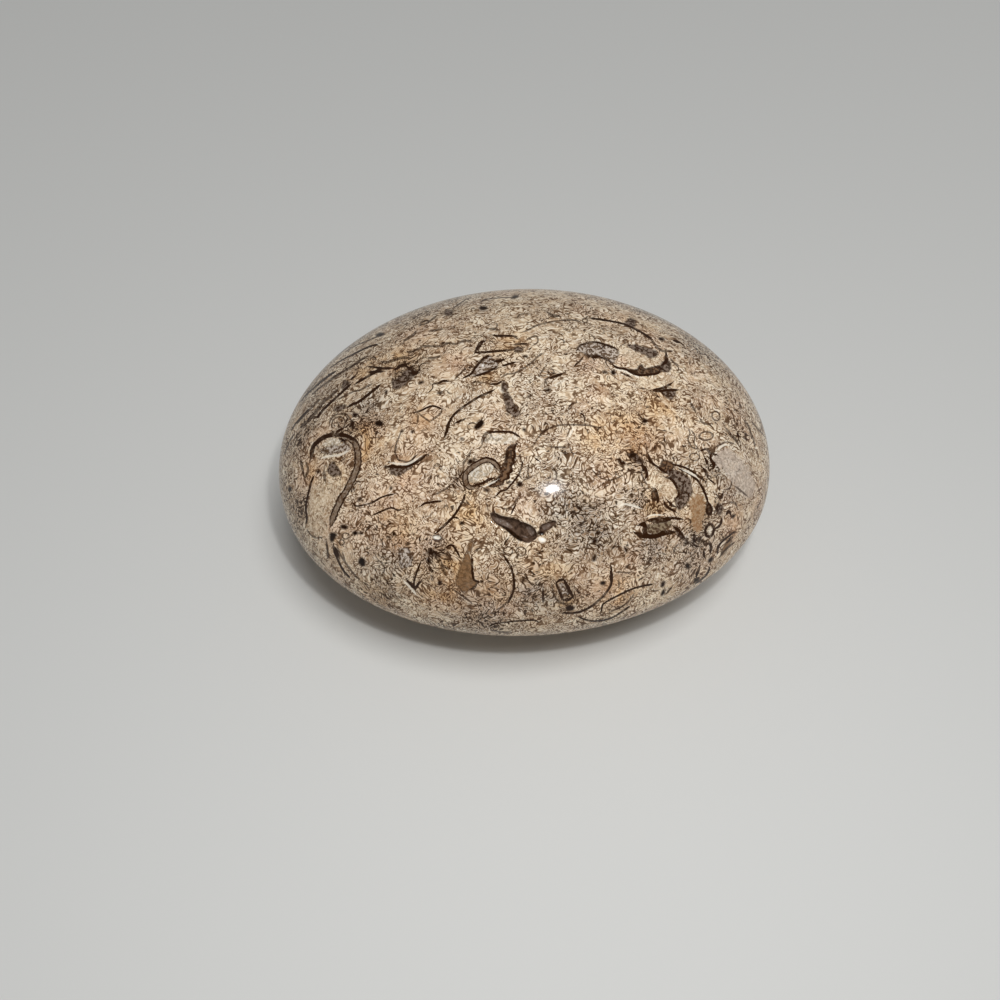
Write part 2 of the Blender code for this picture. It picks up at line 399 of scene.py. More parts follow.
# Closed patches: kind, then the outline's points in the picture.
PATCHES = {
    # In the hollows: painted shadow along the lower walls, and painted light on the lighter walls.
    "hollow shadow": ("shadow", (496, 524), (503, 528.5), (509, 533.5), (515.5, 539), (521, 542), (523, 540),
        (518, 536.5), (511.5, 531), (505, 526.5)),
    "hollow wall": ("painted_lit_wall", (493, 517), (499, 518.5), (506, 522), (512, 527.5), (508, 529), (502, 525.5),
        (495, 521)),
    "far wall": ("painted_lit_wall", (526, 526), (531, 528), (534.5, 533), (532, 537), (528, 533)),
    "side wall": ("painted_lit_wall", (542, 526.5), (549, 524), (551, 526.5), (545, 530.5)),
    "side shadow": ("shadow", (537, 531), (542, 531.5), (545, 534), (541, 535.5), (537.5, 534.5)),
    "tan shell": ("tan", (470, 541), (473, 541), (472, 549), (469, 554), (471, 560), (474, 579), (477, 582),
        (474, 587), (466, 592), (458, 587), (456, 580), (462, 562), (466, 553)),
    "right tan": ("amber", (691, 498), (697, 494), (702, 495), (705, 503), (705, 512), (703, 520),
        (702, 528), (699, 532), (694, 531), (692, 524), (692, 515), (690, 507)),
    "coil tail": ("umber", (517, 444), (513, 448), (515, 455), (514, 460), (514, 464), (510, 466),
        (512, 471), (508, 474), (509, 478), (504, 480), (503, 484), (493, 487), (489, 485), (500, 476),
        (501, 470), (506, 458), (507, 450), (510, 446)),
    "teardrop": ("umber", (707, 502), (710, 505), (711.5, 509), (709.5, 513.5), (707, 513), (706.8, 507)),
    "blotch": ("dark", (503, 393), (508, 393), (515, 405), (520, 414), (515, 417), (507, 411), (505, 403)),
    "blotch top": ("dark", (501, 382), (507, 384), (508, 390), (504, 392)),
    "crescent fill": ("dark", (388, 467), (396, 468), (405, 467), (413, 463), (410, 469), (398, 476),
        (391, 473)),
    "right mass": ("umber", (662, 461), (669, 461.5), (674, 465), (671, 470), (665, 473), (661, 468)),
    "speckled band": ("dark", (666, 471), (673, 470), (688, 477), (692, 493), (681, 510), (675, 501),
        (679, 495), (680, 489), (671, 478)),
    "top specks": ("dark", (626, 454), (637, 454), (641, 459), (646, 463), (640, 464)),
    "crystals": ("grey", (577, 349), (581, 345), (595, 342), (612, 347), (618, 350), (619, 355), (616, 359),
        (613, 363), (603, 358), (588, 355)),
    "upper dark": ("dark", (627, 345), (646, 347), (655, 350), (658, 354), (652, 358), (643, 354)),
    "upper lip": ("umber", (628, 369), (636, 370), (641, 365), (645, 369), (658, 366), (662, 369),
        (657, 373), (648, 375), (638, 374)),
    "junction": ("dark", (661, 364), (667, 360), (670, 363), (671, 369), (666, 372), (661, 370)),
    "upper cream": ("cream", (622, 352), (634, 352), (647, 357), (660, 358), (658, 364), (645, 366),
        (630, 367)),
    "under shell": ("cream", (634, 378), (652, 379), (669, 377), (670, 382), (658, 386), (640, 386)),
    "upper pink": ("rust", (576, 367), (583, 361), (592, 361), (598, 366), (596, 371), (588, 369),
        (580, 371)),
    "arrow": ("dark", (661, 391), (668, 390), (676, 391), (673, 398), (670, 399.5), (665, 396)),
    "left crystals": ("dark", (393, 380), (399, 378), (407, 369), (415, 374), (413, 377), (402, 387),
        (397, 389), (393, 388)),
    "grey lens": ("grey", (471, 374), (475, 368), (484, 358), (490, 356), (493, 359), (498, 363),
        (497, 367), (492, 370), (478, 375)),
    "purple": ("dark", (514, 349), (518, 346.5), (523, 349), (522, 352), (516, 352)),
    "streak end": ("dark", (342, 386), (344, 381), (348, 381), (349, 385), (346, 389), (342, 388)),
    "lens end": ("dark", (334, 410.5), (338, 406), (344, 404.5), (347, 406), (342, 409.5), (337, 412)),
    "box inside": ("olive", (647, 525), (652, 524), (665, 521), (671, 521), (672, 525), (669, 529),
        (657, 534), (650, 534), (646, 530)),
    "box fragment": ("dark", (674, 527), (678, 528), (681, 532), (684, 537), (680, 537), (676, 533)),
    "star": ("grain", (684, 546), (685.5, 541), (686, 538), (688, 541), (691, 542), (687.5, 544)),
    "small box core": ("grey", (558.5, 584), (562, 583), (566, 589), (568.3, 594.5), (565, 597),
        (562, 593.5)),
    "cap": ("pale", (323, 446), (326, 441), (332, 438), (338, 439), (341, 442), (340, 446)),
    "cap foot": ("grey", (321, 449), (332, 446), (341, 446), (346, 442), (350, 447), (347, 451), (328, 454),
        (322, 452)),
    "hook dark": ("dark", (328, 469), (333, 462), (339, 469), (341, 474), (334, 476), (329, 474)),
    "hook cream": ("cream", (316, 480), (324, 484), (340, 480), (345, 484), (338, 497), (331, 512),
        (326, 533), (314, 536), (308, 526), (308, 510), (311, 492)),
    "cream eye": ("cream", (650, 470), (658, 471), (664, 476), (671, 480), (678, 493), (674, 498),
        (667, 499), (661, 494), (657, 487), (650, 484), (648, 477)),
    "curl": ("umber", (653, 490), (656, 494), (657, 499), (653, 500), (652, 496)),
    "curl rust": ("rust", (647, 505), (653, 503), (661, 504), (662, 509), (657, 514), (651, 514),
        (647, 510)),
    "coil cream": ("pale", (468, 478), (471, 471), (478, 465), (486, 463), (491, 464), (494, 470),
        (480, 481), (471, 483)),
    "arc cream": ("pale", (485, 443), (486, 438), (490, 434), (512, 435), (518, 439), (508, 444)),
    # These two pale spots are painted highlights, glints of the lamp.
    "painted glint corner": ("pale", (497, 387), (503, 387), (504, 394), (500, 391)),
    "painted glint spot": ("pale", (554, 386), (559, 381), (566, 378.5), (562, 384), (557, 387)),
    "oval core": ("pale", (403, 551), (407, 550), (408.5, 556), (407, 562), (403.5, 562), (401.5, 557)),
    "oval halo": ("grey", (399, 552), (405, 547), (411, 553), (412, 563), (406, 569), (400, 566)),
    "right grey": ("cloud", (714, 458), (720, 452), (728, 447), (735, 453), (750, 471), (755, 485),
        (752, 497), (745, 498), (737, 489), (723, 470), (716, 465)),
    "rim lens": ("cream", (751, 450), (755, 456), (756, 465), (755, 473), (751, 465), (750, 456)),
    "purple oval": ("dark", (716, 508), (718, 504.5), (722, 505), (722.5, 511), (719.5, 514), (717, 512)),
    "pale ring core": ("pale", (707.5, 530.5), (710, 526), (712, 530), (709.5, 535)),
    "hook foot": ("grain", (330, 534), (334, 532.5), (336.5, 534.5), (335, 538), (331.5, 542),
        (330.5, 540)),
    "black slab": ("grain", (474, 427), (480.5, 419.5), (484, 423), (478, 429.5)),
    "top slab": ("dark", (445, 311), (452, 310), (452, 314.5), (446, 315)),
    "top grey": ("dark", (624, 324), (630, 318), (635, 321), (634, 327), (629, 327)),
    "right brown": ("tan", (721, 553), (724, 546), (729, 541), (732, 541), (728, 548), (723, 555)),
    # Painted highlights: the lamp's glints in the pits and on a crystal.
    "pit glint": ("glint", (538, 538), (541, 537), (546, 539), (545, 542), (540, 542)),
    "round glint": ("glint", (432, 537), (436, 535.5), (440.5, 537), (438, 540), (434, 539.5)),
    "lens glint": ("glint", (481.5, 366), (483.5, 363.5), (484.5, 365), (483, 366.5)),
}

# Dark grains: place, half-axes and turn in degrees.
GRAINS = (
    (519.6, 484, 2.8, 2.8, 0), (570, 608, 4.2, 2.8, 0), (362, 562, 3.2, 4.6, -15), (548, 390, 2.8, 1.5, -12),
    (529.6, 395.8, 2.6, 1.3, -25), (524, 429.5, 2.2, 1.5, 20), (344, 527, 3.6, 2.2, 0),
    (355, 533, 2.3, 1.9, 0), (361, 533, 1.7, 1.5, -20), (428.5, 552, 1.3, 2.2, 0),
    (431.7, 553, 1.2, 4.2, -12), (435.5, 555, 1.3, 4.8, -18), (439, 555, 0.9, 2, 0),
    (428.7, 560.5, 1.7, 3.2, -15), (318.3, 471.7, 1.7, 1.6, 0), (290, 489, 1.6, 2.4, 0),
    (355.4, 415, 2.8, 2, 0), (352.5, 425, 1.6, 4.5, 0), (379, 423.5, 4.2, 2.8, 0), (386, 392, 1.1, 2.4, 0),
    (470, 461.5, 2, 3, 40), (474, 459, 1.4, 1.4, 0), (487, 490, 3.4, 1.8, 10), (462, 523, 2.2, 1.7, 0),
    (394, 534, 1.9, 1.8, 0), (389, 537.5, 2.2, 1.1, 20), (407, 544.5, 2, 1.2, 0), (440, 583, 1.7, 2.3, 20),
    (432.3, 577.7, 1.1, 2.6, -10), (402, 431, 1.4, 1.5, 0), (413, 431.5, 2, 1.3, -25),
    (359.6, 499.6, 2.3, 1.4, -30), (391, 488, 1.2, 1.7, 0), (378, 423, 2, 1.5, 0), (413, 372, 1.2, 2.8, 40),
    (386, 467, 1.4, 1.6, 0), (633, 455.5, 3.6, 2.4, 0), (622.5, 463, 2.8, 1.5, 5), (640, 460, 1.8, 1.6, 0),
    (644, 469, 1.6, 3, 20), (594.5, 558, 1.6, 3.6, 25), (595, 541, 3, 2, -40), (600.5, 545, 2, 1.2, 30),
    (603, 583, 3, 2, 0), (663, 584, 1.7, 3.3, 20), (663, 592.5, 1.6, 3.6, 25), (687.7, 566, 2, 3, -20),
    (696.5, 580, 3.2, 1.8, -35), (710.7, 559.7, 3, 2, -50), (733.7, 516, 2.2, 1.3, -40),
    (694, 540, 1.6, 3.6, 0), (683, 538, 2.8, 1.4, 20), (650, 559.5, 1.1, 2.2, 30),
    (613.3, 372.5, 2.2, 2.8, 0), (605, 372, 2.4, 1.3, 0), (661.7, 339.2, 3, 1.4, 20),
    (483.3, 308.3, 4.2, 1.8, 0), (515, 297, 3.6, 1.5, -15), (380, 334.5, 4.4, 1.5, -8),
    (525, 356.3, 2.8, 1.1, 5), (421, 382.5, 2.6, 1.2, -25), (440, 392.5, 2.4, 1.4, -15),
    (462, 439, 2, 1.2, 20), (542, 532.5, 4, 1.6, 0), (699, 408.5, 1.5, 1.3, 0), (645, 421, 2.6, 2.2, 0),
    (596, 356.5, 4, 1.5, 0), (541.5, 530, 1.6, 2.6, 0), (507, 456, 1.4, 4, 10), (343, 440, 3, 1.4, 30),
    (626, 549.5, 1.2, 3, -20), (619, 460, 1.4, 1.4, 0),
)

# Open pits: outline in the picture, depth in metres, and the wall's width in pixels.
PITS = {
    "long hollow": (
        ((490, 511.5), (496, 513), (502, 515.5), (509, 517), (516, 518.5), (522, 521.5), (528, 523.5),
         (533, 526.5), (537, 532), (537, 538.5), (530, 543.5), (523, 542.5), (515.5, 539), (509, 533.5),
         (503.5, 528.5), (496, 524.5), (491, 518)),
        0.001, 5.0,
    ),
    "side hollow": (
        ((540, 525.5), (546, 522.5), (554, 520), (556.5, 523), (552, 528.5), (545.5, 532.5), (540, 532)),
        0.0006, 2.6,
    ),
    "round pit": (
        ((431, 537), (436, 534.5), (442, 537), (440, 542), (434, 543)),
        0.0005, 3.0,
    ),
    "shell box": (
        ((558, 584), (562, 582), (566, 588), (569, 594), (565, 598), (561, 593)),
        0.00012, 2.5,
    ),
    "right box": (
        ((648, 525), (660, 522.5), (671, 521.5), (669, 528), (660, 531), (649, 533)),
        0.00012, 4.0,
    ),
}

# Stains, partly painted shade and painted reflection near the rim: place in the picture, radius in
# millimetres and strength.
STAINS = {
    # The grey stains along the top and upper left rim are painted reflection haze; the others are greyer
    # stone.
    "grey": (
        (566, 510, 3.2, 0.8), (590, 530, 4, 1), (562, 540, 2.6, 0.7), (530, 592, 2.6, 1),
        (392, 590, 3.6, 0.5), (722, 462, 2.6, 1), (740, 480, 3.4, 1), (370, 405, 2.6, 0.7),
        (545, 395, 4.2, 0.35), (690, 550, 3.4, 0.6), (420, 302, 7, 0.5), (350, 345, 6, 0.7),
        (320, 395, 5, 0.5), (655, 545, 3, 0.9), (390, 560, 2.6, 0.7), (470, 615, 4.5, 0.7),
        (660, 310, 6, 0.7), (700, 350, 5, 0.6), (540, 495, 3, 0.5), (630, 505, 2, 0.6), (460, 300, 6, 0.2),
        (560, 602, 2.6, 0.8), (595, 350, 2.4, 0.5), (435, 552, 2, 0.9), (460, 475, 2.6, 0.4),
        (480, 372, 3, 0.3), (560, 465, 3.4, 0.5), (475, 400, 3, 0.4), (680, 475, 2.6, 0.4),
    ),
    "rust": (
        (368, 445, 2.4, 1), (366, 430, 2, 0.8), (452, 564, 3, 1), (470, 515, 3, 0.9), (443, 594, 3, 1),
        (511, 343, 2.2, 1), (640, 440, 2.6, 0.6), (655, 504, 2, 0.9), (420, 420, 2.8, 0.45),
        (660, 408, 2.6, 0.9), (625, 425, 3.6, 0.6), (400, 358, 3.6, 0.7), (697, 515, 2, 0.7),
        (487, 378, 2, 0.9), (596, 440, 2.6, 0.6), (450, 352, 3, 0.3), (545, 565, 3.6, 0.7),
        (362, 372, 2.4, 0.7), (550, 528, 1.2, 0.8), (310, 470, 2, 0.7), (620, 590, 3, 0.8),
        (470, 480, 2, 0.3), (375, 595, 2.6, 0.6), (400, 465, 2.6, 0.4), (400, 525, 3, 0.5),
        (500, 590, 3, 0.4), (402, 584, 3.5, 0.5), (565, 600, 2.5, 0.6), (340, 468, 2.6, 0.5),
    ),
    # The shade stains are darker zones of the stone, with painted shade along the lower front rim and a
    # painted dark reflection along the upper left rim.
    "shade": (
        (368, 408, 2.8, 0.45), (378, 420, 2.6, 0.55), (638, 463, 1.5, 1), (588, 510, 2.6, 0.8),
        (594, 536, 2.4, 0.9), (402, 372, 2.6, 0.8), (330, 392, 3.4, 0.3), (420, 500, 4, 0.12),
        (650, 420, 3, 0.15), (530, 592, 2, 0.7), (520, 412, 1.8, 0.3), (694, 545, 2.4, 0.6),
        (712, 466, 1.6, 0.6), (300, 503, 1.8, 1), (297, 514, 1.6, 0.8), (612, 548, 2.2, 0.6),
        (450, 332, 3.4, 0.2), (640, 335, 3, 0.2), (735, 425, 3, 0.4), (306, 430, 3, 0.8),
        (385, 600, 2.4, 0.3), (680, 350, 3, 0.3), (655, 532, 2.4, 0.8), (340, 428, 2.6, 0.9),
        (352, 372, 3, 0.5), (410, 360, 2.6, 0.6), (725, 395, 3, 0.4), (442, 552, 2.6, 0.35),
        (440, 585, 3, 0.3), (478, 590, 2.6, 0.4), (700, 515, 2.2, 0.7), (570, 595, 2.2, 0.8),
        (545, 608, 5, 0.3), (490, 618, 5, 0.4), (465, 483, 1.6, 0.6), (658, 505, 1.6, 0.6),
        (445, 430, 3.2, 0.35), (695, 392, 3, 0.45), (661, 450, 2.4, 0.6), (640, 497, 2.2, 0.5),
        (668, 512, 1.6, 0.6), (636, 546, 2.2, 0.5), (508, 550, 1.8, 0.4), (715, 365, 3, 0.3),
    ),
    "pink": (
        (303, 478, 2.2, 1), (420, 425, 2.6, 0.8), (360, 530, 4.6, 0.7), (588, 366, 1.8, 1),
        (415, 335, 4, 0.6), (625, 364, 1.6, 0.7), (730, 524, 2.4, 1), (412, 480, 3.6, 0.7),
        (380, 500, 3.4, 0.7), (634, 556, 1.8, 0.9), (605, 478, 2.8, 0.6), (322, 432, 2.2, 0.8),
        (368, 425, 1.8, 0.6), (455, 362, 2.6, 0.5), (480, 600, 5, 0.6), (610, 590, 4, 0.6),
        (700, 565, 4, 0.7), (640, 440, 3, 0.6), (500, 440, 3, 0.5), (430, 540, 3.4, 0.6),
        (330, 530, 3.4, 0.5), (655, 345, 3, 0.5), (530, 505, 2.4, 0.5), (760, 500, 4, 0.7),
    ),
    # The pale stain at the top rim is painted reflection; the others are paler stone.
    "pale": (
        (425, 440, 3, 0.5), (475, 410, 4, 0.4), (565, 560, 3.6, 0.8), (440, 380, 4, 0.35), (553, 338, 4, 0.3),
        (350, 560, 4, 0.4), (322, 505, 2.6, 0.8), (620, 530, 3, 0.5), (700, 430, 4, 0.7), (520, 305, 5, 0.6),
        (520, 392, 1.8, 0.6), (430, 530, 3, 0.3), (340, 525, 3, 0.6), (440, 465, 3, 0.3), (650, 382, 2, 0.7),
        (530, 500, 2, 0.7), (720, 410, 3, 0.4), (705, 495, 1.4, 0.8), (590, 560, 2, 0.7),
        (490, 560, 2.4, 0.3), (735, 465, 3, 0.7), (640, 520, 2, 0.5), (455, 495, 3, 0.3),
    ),
}

# Scattered pieces, where nothing is placed by hand: the seed that they are drawn with and how many are tried.
SCATTER_SEED = 23
SCATTERED_LINES = 420
SCATTERED_BANDS = 26
SCATTERED_PATCHES = 70
SCATTERED_STAINS = 46


def amount(name, description, default, unit="LENGTH"):
    """A length setting, or one in another unit."""
    return bpy.props.FloatProperty(name=name, description=description, default=default, unit=unit)


def fraction(name, description, default):
    """A setting from 0 to 1."""
    return bpy.props.FloatProperty(
        name=name, description=description, default=default, min=0.0, max=1.0, subtype="FACTOR"
    )


def tint(name, description, default):
    """A colour setting."""
    return bpy.props.FloatVectorProperty(name=name, description=description, default=default, subtype="COLOR")


class StoneSizes(bpy.types.PropertyGroup):
    """The stone's sizes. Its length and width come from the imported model."""

    length: amount("Length", "From tip to tip", STONE_HIGH.x - STONE_LOW.x)
    width: amount("Width", "From front to back", STONE_HIGH.y - STONE_LOW.y)
    crown_rise: amount("Crown rise", "Height of the crown above the girdle, in the middle", 0.0234)
    belly_drop: amount("Belly drop", "Depth of the whole belly below the girdle", GIRDLE_HEIGHT + FLAT_DEPTH)
    fineness: bpy.props.IntProperty(
        name="Fineness", description="Subdivisions of the ball that the stone starts as", default=7, min=3,
        max=7,
    )


class StoneLook(bpy.types.PropertyGroup):
    """The colours and the polish of the stone."""

    cream: tint("Cream", "Light shell grains", (0.87, 0.727, 0.53))
    chalk: tint("Chalk", "The lightest shell", (0.965, 0.89, 0.757))
    beige: tint("Beige", "The mass between the grains", (0.42, 0.275, 0.158))
    line: tint("Line", "Dark edges of the fragments", (0.027, 0.009, 0.0018))
    umber: tint("Umber", "Brown shell", (0.14, 0.075, 0.038))
    tan: tint("Tan", "Smooth brown shell wall", (0.21, 0.112, 0.05))
    seep: tint("Seep", "Brown tint beside the fine edges", (0.70, 0.50, 0.30))
    rust: tint("Rust", "Tint of the iron stains", (0.90, 0.70, 0.46))
    grey: tint("Grey", "Clear crystal over dark mud", (0.37, 0.305, 0.25))
    ash: tint("Ash", "Tint of the greyer parts", (0.72, 0.77, 0.86))
    # Tint of the shade stains: darker stone, and painted shade and painted dark reflection near the rim.
    dark_and_shade_tint: tint("Damp", "Tint of the darker parts", (0.60, 0.52, 0.46))
    pink: tint("Pink", "Tint of the pinkish clay", (0.97, 0.83, 0.79))
    crystal: tint("Crystal", "Light grains of the clear crystal", (0.56, 0.48, 0.41))
    amber: tint("Amber", "Light grains of the amber shell", (0.37, 0.235, 0.13))
    slate: tint("Slate", "Light grains of the dark shell", (0.21, 0.155, 0.12))
    olive: tint("Olive", "Light grains of the olive shell", (0.25, 0.19, 0.12))
    wall: tint("Wall", "Light grains of the brown bands", (0.205, 0.147, 0.105))
    pit: tint("Pit", "Dark grit in the open pits", (0.042, 0.024, 0.015))
    grit: tint("Grit", "Light grit in the open pits", (0.112, 0.068, 0.045))
    # The next two colours are painted light on the lit walls of the pits.
    painted_lit_wall: tint("Facet", "Dark grains of the facets in the pits", (0.16, 0.115, 0.09))
    painted_lit_wall_pale: tint("Facet light", "Light grains of the facets in the pits", (0.25, 0.195, 0.16))
    # A painted highlight: the colour of the lamp's glints in the pits and on a crystal.
    glint: tint("Glint", "The lightest grains in the pits", (0.98, 0.96, 0.94))
    polish: fraction("Polish", "Roughness of the clear polished skin", 0.08)
    polish_weight: fraction("Polish weight", "How much of the clear skin there is", 0.6)
    roughness: fraction("Roughness", "Roughness of the stone under its skin", 0.34)
    relief: amount("Relief", "Height of the fine relief", 0.00005)


class StudioLook(bpy.types.PropertyGroup):
    """The floor and the lights."""

    floor: tint("Floor", "Colour of the plain floor", (0.665, 0.67, 0.655))
    floor_side: amount("Floor side", "Length of the floor's side", 6.0)
    lamp_size: amount("Lamp size", "Width of the small lamp", 0.009)
    lamp_power: amount("Lamp power", "Power of the lamp beside the camera", 0.074, "POWER")
    soft_size: amount("Soft size", "Width of the soft light", 0.96)
    soft_power: amount("Soft power", "Power of the wide soft light overhead", 18.2, "POWER")
    sky_colour: tint("Sky colour", "Tint of the even light from all round", (1.0, 0.99, 0.98))
    sky: bpy.props.FloatProperty(
        name="Sky", description="Strength of the even light from all round", default=0.18, min=0.0
    )


def camera_matrix():
    """Where the camera stands and how it is turned."""
    turn = Matrix.Rotation(math.radians(CAMERA_TURN), 4, "Z")
    tilt = Matrix.Rotation(math.radians(90 - CAMERA_TILT), 4, "X")
    roll = Matrix.Rotation(math.radians(CAMERA_ROLL), 4, "Z")
    facing = turn @ tilt @ roll
    back = facing.to_3x3() @ Vector((0, 0, CAMERA_DISTANCE))
    return Matrix.Translation(CAMERA_AIM + back) @ facing


def select_nothing():
    """Deselects every object."""
    bpy.ops.object.select_all(action="DESELECT")


def rows_of(items, name):
    """A vector that each item has, such as its place or normal, as rows of x, y and z."""
    rows = np.empty(len(items) * 3)
    items.foreach_get(name, rows)
    return rows.reshape(-1, 3)


def pick_vertices(mesh, wanted):
    """Selects just the vertices that `wanted` says, by their places, and ends in edit mode."""
    bpy.ops.object.mode_set(mode="OBJECT")
    mesh.polygons.foreach_set("select", np.zeros(len(mesh.polygons), bool))
    mesh.edges.foreach_set("select", np.zeros(len(mesh.edges), bool))
    mesh.vertices.foreach_set("select", wanted(rows_of(mesh.vertices, "co")))
    bpy.ops.object.mode_set(mode="EDIT")


def store_numbers(mesh, name, values):
    """Keeps a number for every vertex under a name."""
    attribute = mesh.attributes.new(name, "FLOAT", "POINT")
    attribute.data.foreach_set("value", values.astype(np.float32))


def resize_vertices(mesh, wanted, scale):
    """Scales the wanted vertices about the origin."""
    pick_vertices(mesh, wanted)
    bpy.ops.transform.resize(value=scale, center_override=(0, 0, 0))


def apply_taper(stone, name, share, locked, group=""):
    """Widens the stone by a share at the +X tip and narrows it at the other, where it isn't locked."""
    taper = stone.modifiers.new(name, "SIMPLE_DEFORM")
    taper.deform_method = "TAPER"
    taper.deform_axis = "X"
    taper.factor = 2 * share
    taper.lock_y = locked == "Y"
    taper.lock_z = locked == "Z"
    taper.vertex_group = group
    bpy.ops.object.modifier_apply(modifier=name)


class STONE_OT_add_stone(bpy.types.Operator):
    """Shapes a ball into the stone's oval, with a fine mesh where it faces the camera"""

    bl_idname = "stone.add_stone"
    bl_label = "Add Stone"

    def execute(self, context):
        sizes = context.scene.stone_sizes
        select_nothing()
        bpy.ops.mesh.primitive_ico_sphere_add(subdivisions=sizes.fineness, radius=1)
        stone = context.active_object
        stone.name = STONE_NAME
        stone.data.name = STONE_NAME
        mesh = stone.data
        bpy.ops.object.mode_set(mode="EDIT")
        bpy.ops.mesh.select_mode(type="VERT")
        pick_vertices(mesh, lambda places: places @ FINE_SIDE > FINE_REACH)
        bpy.ops.mesh.subdivide(number_cuts=1)
        bpy.ops.mesh.select_all(action="SELECT")
        bpy.ops.transform.tosphere(value=1.0)

        # The ball becomes an oval whose crown and belly have their own heights, and which tapers along X.
        bpy.ops.transform.resize(value=(sizes.length / 2, sizes.width / 2, 1), center_override=(0, 0, 0))
        resize_vertices(mesh, lambda places: places[:, 2] > 0, (1, 1, sizes.crown_rise))
        resize_vertices(mesh, lambda places: places[:, 2] < 0, (1, 1, sizes.belly_drop))
        bpy.ops.object.mode_set(mode="OBJECT")
        crown = stone.vertex_groups.new(name="crown")
        crown.add(np.flatnonzero(rows_of(mesh.vertices, "co")[:, 2] > 0).tolist(), 1.0, "REPLACE")
        apply_taper(stone, "girdle taper", WIDTH_TAPER, "Z")
        apply_taper(stone, "crown taper", CROWN_TAPER, "Y", "crown")
        stone.vertex_groups.clear()

        # The belly's lowest part, below the floor's level, is worn flat.
        bpy.ops.transform.translate(value=(0, 0, GIRDLE_HEIGHT))
        bpy.ops.object.transform_apply(location=True, rotation=True, scale=True)
        resize_vertices(mesh, lambda places: places[:, 2] < 0, (1, 1, 0))
        bpy.ops.object.mode_set(mode="OBJECT")
        bpy.ops.object.shade_smooth()
        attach(stone, "root")
        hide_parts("stone")
        return {"FINISHED"}


def smooth_curve(points, closed=False, steps=6):
    """A Catmull-Rom curve through the points."""
    knots = np.array(points, float)
    if closed:
        knots = np.vstack((knots[-1:], knots, knots[:2]))
    else:
        knots = np.vstack((2 * knots[0] - knots[1], knots, 2 * knots[-1] - knots[-2]))
    share = np.linspace(0, 1, steps, endpoint=False)[:, None]
    spans = []
    for before, start, end, after in zip(knots, knots[1:], knots[2:], knots[3:]):
        slope = (end - before) * share
        bend = (2 * before - 5 * start + 4 * end - after) * share**2
        twist = (3 * start - before - 3 * end + after) * share**3
        spans.append(start + (slope + bend + twist) / 2)
    last = knots[1:2] if closed else knots[-2:-1]
    return np.vstack(spans + [last])


def oval(centre, half_axes, turn, count=14):
    """Points round an oval, turned clockwise in the picture by `turn` degrees."""
    angles = np.linspace(0, 2 * math.pi, count, endpoint=False)
    across = half_axes[0] * np.cos(angles)
    along = half_axes[1] * np.sin(angles)
    cos, sin = math.cos(math.radians(turn)), math.sin(math.radians(turn))
    return np.column_stack((centre[0] + cos * across - sin * along, centre[1] + sin * across + cos * along))


def nearest_on(flat, path):
    """For each place, the gap to the path, the side it is on and the way along it. Then the path's length."""
    start, step = path[:-1], np.diff(path, axis=0)
    length = np.hypot(*step.T)
    away = flat[:, None] - start
    share = np.clip((away * step).sum(2) / np.maximum(length**2, 1e-9), 0, 1)
    reach = away - share[..., None] * step
    gaps = np.hypot(reach[..., 0], reach[..., 1])
    pick = gaps.argmin(1)
    rows = np.arange(len(flat))
    turn = step[pick, 0] * reach[rows, pick, 1] - step[pick, 1] * reach[rows, pick, 0]
    along = np.concatenate(((0,), np.cumsum(length)))[pick] + share[rows, pick] * length[pick]
    return gaps[rows, pick], np.where(turn < 0, -1.0, 1.0), along, length.sum()


def is_inside(flat, path):
    """Whether each place is inside the closed path."""
    x, y = flat.T
    inside = np.zeros(len(flat), bool)
    for (x0, y0), (x1, y1) in zip(path[:-1], path[1:]):
        if y0 == y1:
            continue
        crossing = x0 + (x1 - x0) * (y - y0) / (y1 - y0)
        inside ^= ((y0 > y) != (y1 > y)) & (x < crossing)
    return inside


